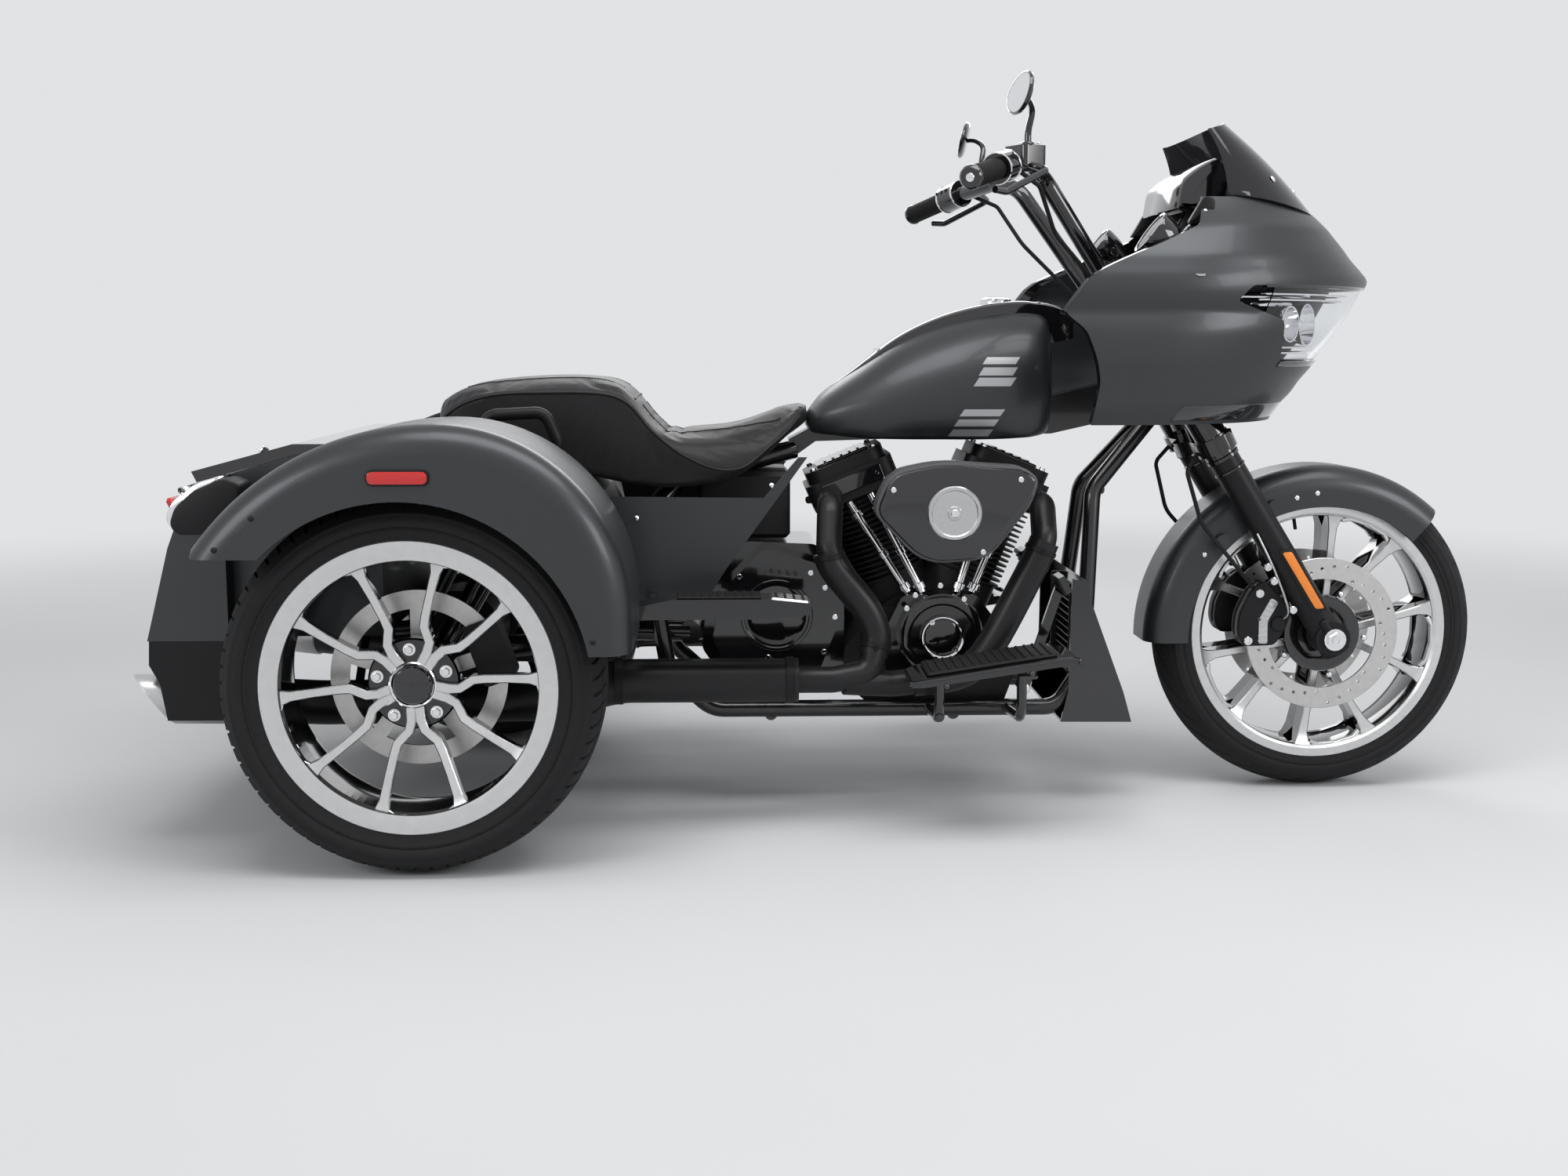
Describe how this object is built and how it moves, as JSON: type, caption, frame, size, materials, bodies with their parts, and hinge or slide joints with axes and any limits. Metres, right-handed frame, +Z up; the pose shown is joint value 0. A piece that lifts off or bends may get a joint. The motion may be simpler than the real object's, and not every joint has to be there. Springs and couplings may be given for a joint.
{
  "type": "motorized trike",
  "caption": "Touring motor trike with a steered front wheel, frame-mounted fairing, V-twin engine, stepped seat and a lidded trunk between two driven rear wheels.",
  "frame": {"origin": "on the floor under the middle of the vehicle's box", "axes": "+X forwards, +Y to the rider's left, +Z up"},
  "size_m": [2.5001, 1.39, 1.345],
  "materials": {
    "amber_lens": "gloss",
    "black_plastic": "matte",
    "chrome": "polished",
    "disc_steel": "brushed",
    "engine_black": "satin",
    "gloss_black": "gloss",
    "grip_rubber": "matte",
    "lamp_glass": "gloss",
    "machined_aluminium": "machined",
    "red_lens": "gloss",
    "satin_black": "satin",
    "satin_body_paint": "satin",
    "seat_leather": "satin",
    "silver_fender_paint": "satin",
    "smoked_screen": "gloss",
    "tyre_rubber": "matte"
  },
  "bodies": {
    "chassis": {"air_cleaner": "gloss_black", "belt_drive": "black_plastic", "body_deck": "satin_body_paint", "cam_cover": "gloss_black", "chin_spoiler": "gloss_black", "engine_crankcase": "engine_black", "engine_cylinders": "gloss_black", "exhaust_headers": "satin_black", "fairing_bracket": "gloss_black", "fairing_inner": "gloss_black", "fairing_shell": "satin_body_paint", "foot_controls": "satin_black", "footboards": "satin_black", "frame_backbone": "gloss_black", "frame_cradle": "gloss_black", "fuel_tank": "satin_body_paint", "grab_rails": "gloss_black", "headlamps": "lamp_glass", "instrument_panel": "black_plastic", "mufflers": "satin_black", "passenger_boards": "satin_black", "plate_bracket": "satin_black", "primary_cover": "gloss_black", "pushrod_tubes": "chrome", "rear_axle": "satin_black", "rear_calipers": "satin_black", "rear_fenders": "satin_body_paint", "rear_lights": "red_lens", "rear_subframe": "gloss_black", "rear_valance": "satin_black", "seat": "seat_leather", "shocks": "satin_black", "side_covers": "satin_body_paint", "swingarm": "satin_black", "tank_console": "gloss_black", "transmission": "engine_black", "trunk_body": "satin_body_paint", "windshield": "smoked_screen"},
    "steering": {"fork_sliders": "satin_black", "fork_trees": "gloss_black", "front_axle": "disc_steel", "front_fender": "silver_fender_paint", "front_calipers": "satin_black", "handlebar": "gloss_black", "grips": "grip_rubber", "bar_controls": "black_plastic", "mirrors": "gloss_black", "brake_hoses": "black_plastic", "control_cables": "black_plastic", "fork_reflectors": "amber_lens"},
    "front_wheel": {"front_rim": "machined_aluminium", "front_tyre": "tyre_rubber", "front_discs": "disc_steel"},
    "rear_wheel_left": {"rear_rim_left": "machined_aluminium", "rear_tyre_left": "tyre_rubber", "rear_disc_left": "disc_steel"},
    "rear_wheel_right": {"rear_rim_right": "machined_aluminium", "rear_tyre_right": "tyre_rubber", "rear_disc_right": "disc_steel"},
    "trunk_lid_body": {"trunk_lid": "satin_body_paint"}
  },
  "joints": [
    {"name": "steering_turn", "type": "hinge", "parent": "chassis", "child": "steering", "pos_m": [0.65357, 0, 0.78], "axis": [-0.4384, 0, 0.8988], "range_deg": [-35, 35]},
    {"name": "front_wheel_spin", "type": "hinge", "parent": "steering", "child": "front_wheel", "pos_m": [0.934, 0, 0.316], "axis": [0, 1, 0], "continuous": true},
    {"name": "rear_wheel_left_spin", "type": "hinge", "parent": "chassis", "child": "rear_wheel_left", "pos_m": [-0.756, 0.52, 0.32], "axis": [0, 1, 0], "continuous": true},
    {"name": "rear_wheel_right_spin", "type": "hinge", "parent": "chassis", "child": "rear_wheel_right", "pos_m": [-0.756, -0.52, 0.32], "axis": [0, 1, 0], "continuous": true},
    {"name": "trunk_lid_lift", "type": "hinge", "parent": "chassis", "child": "trunk_lid_body", "pos_m": [-0.828, 0, 0.7], "axis": [0, 1, 0], "range_deg": [0, 65]}
  ]
}
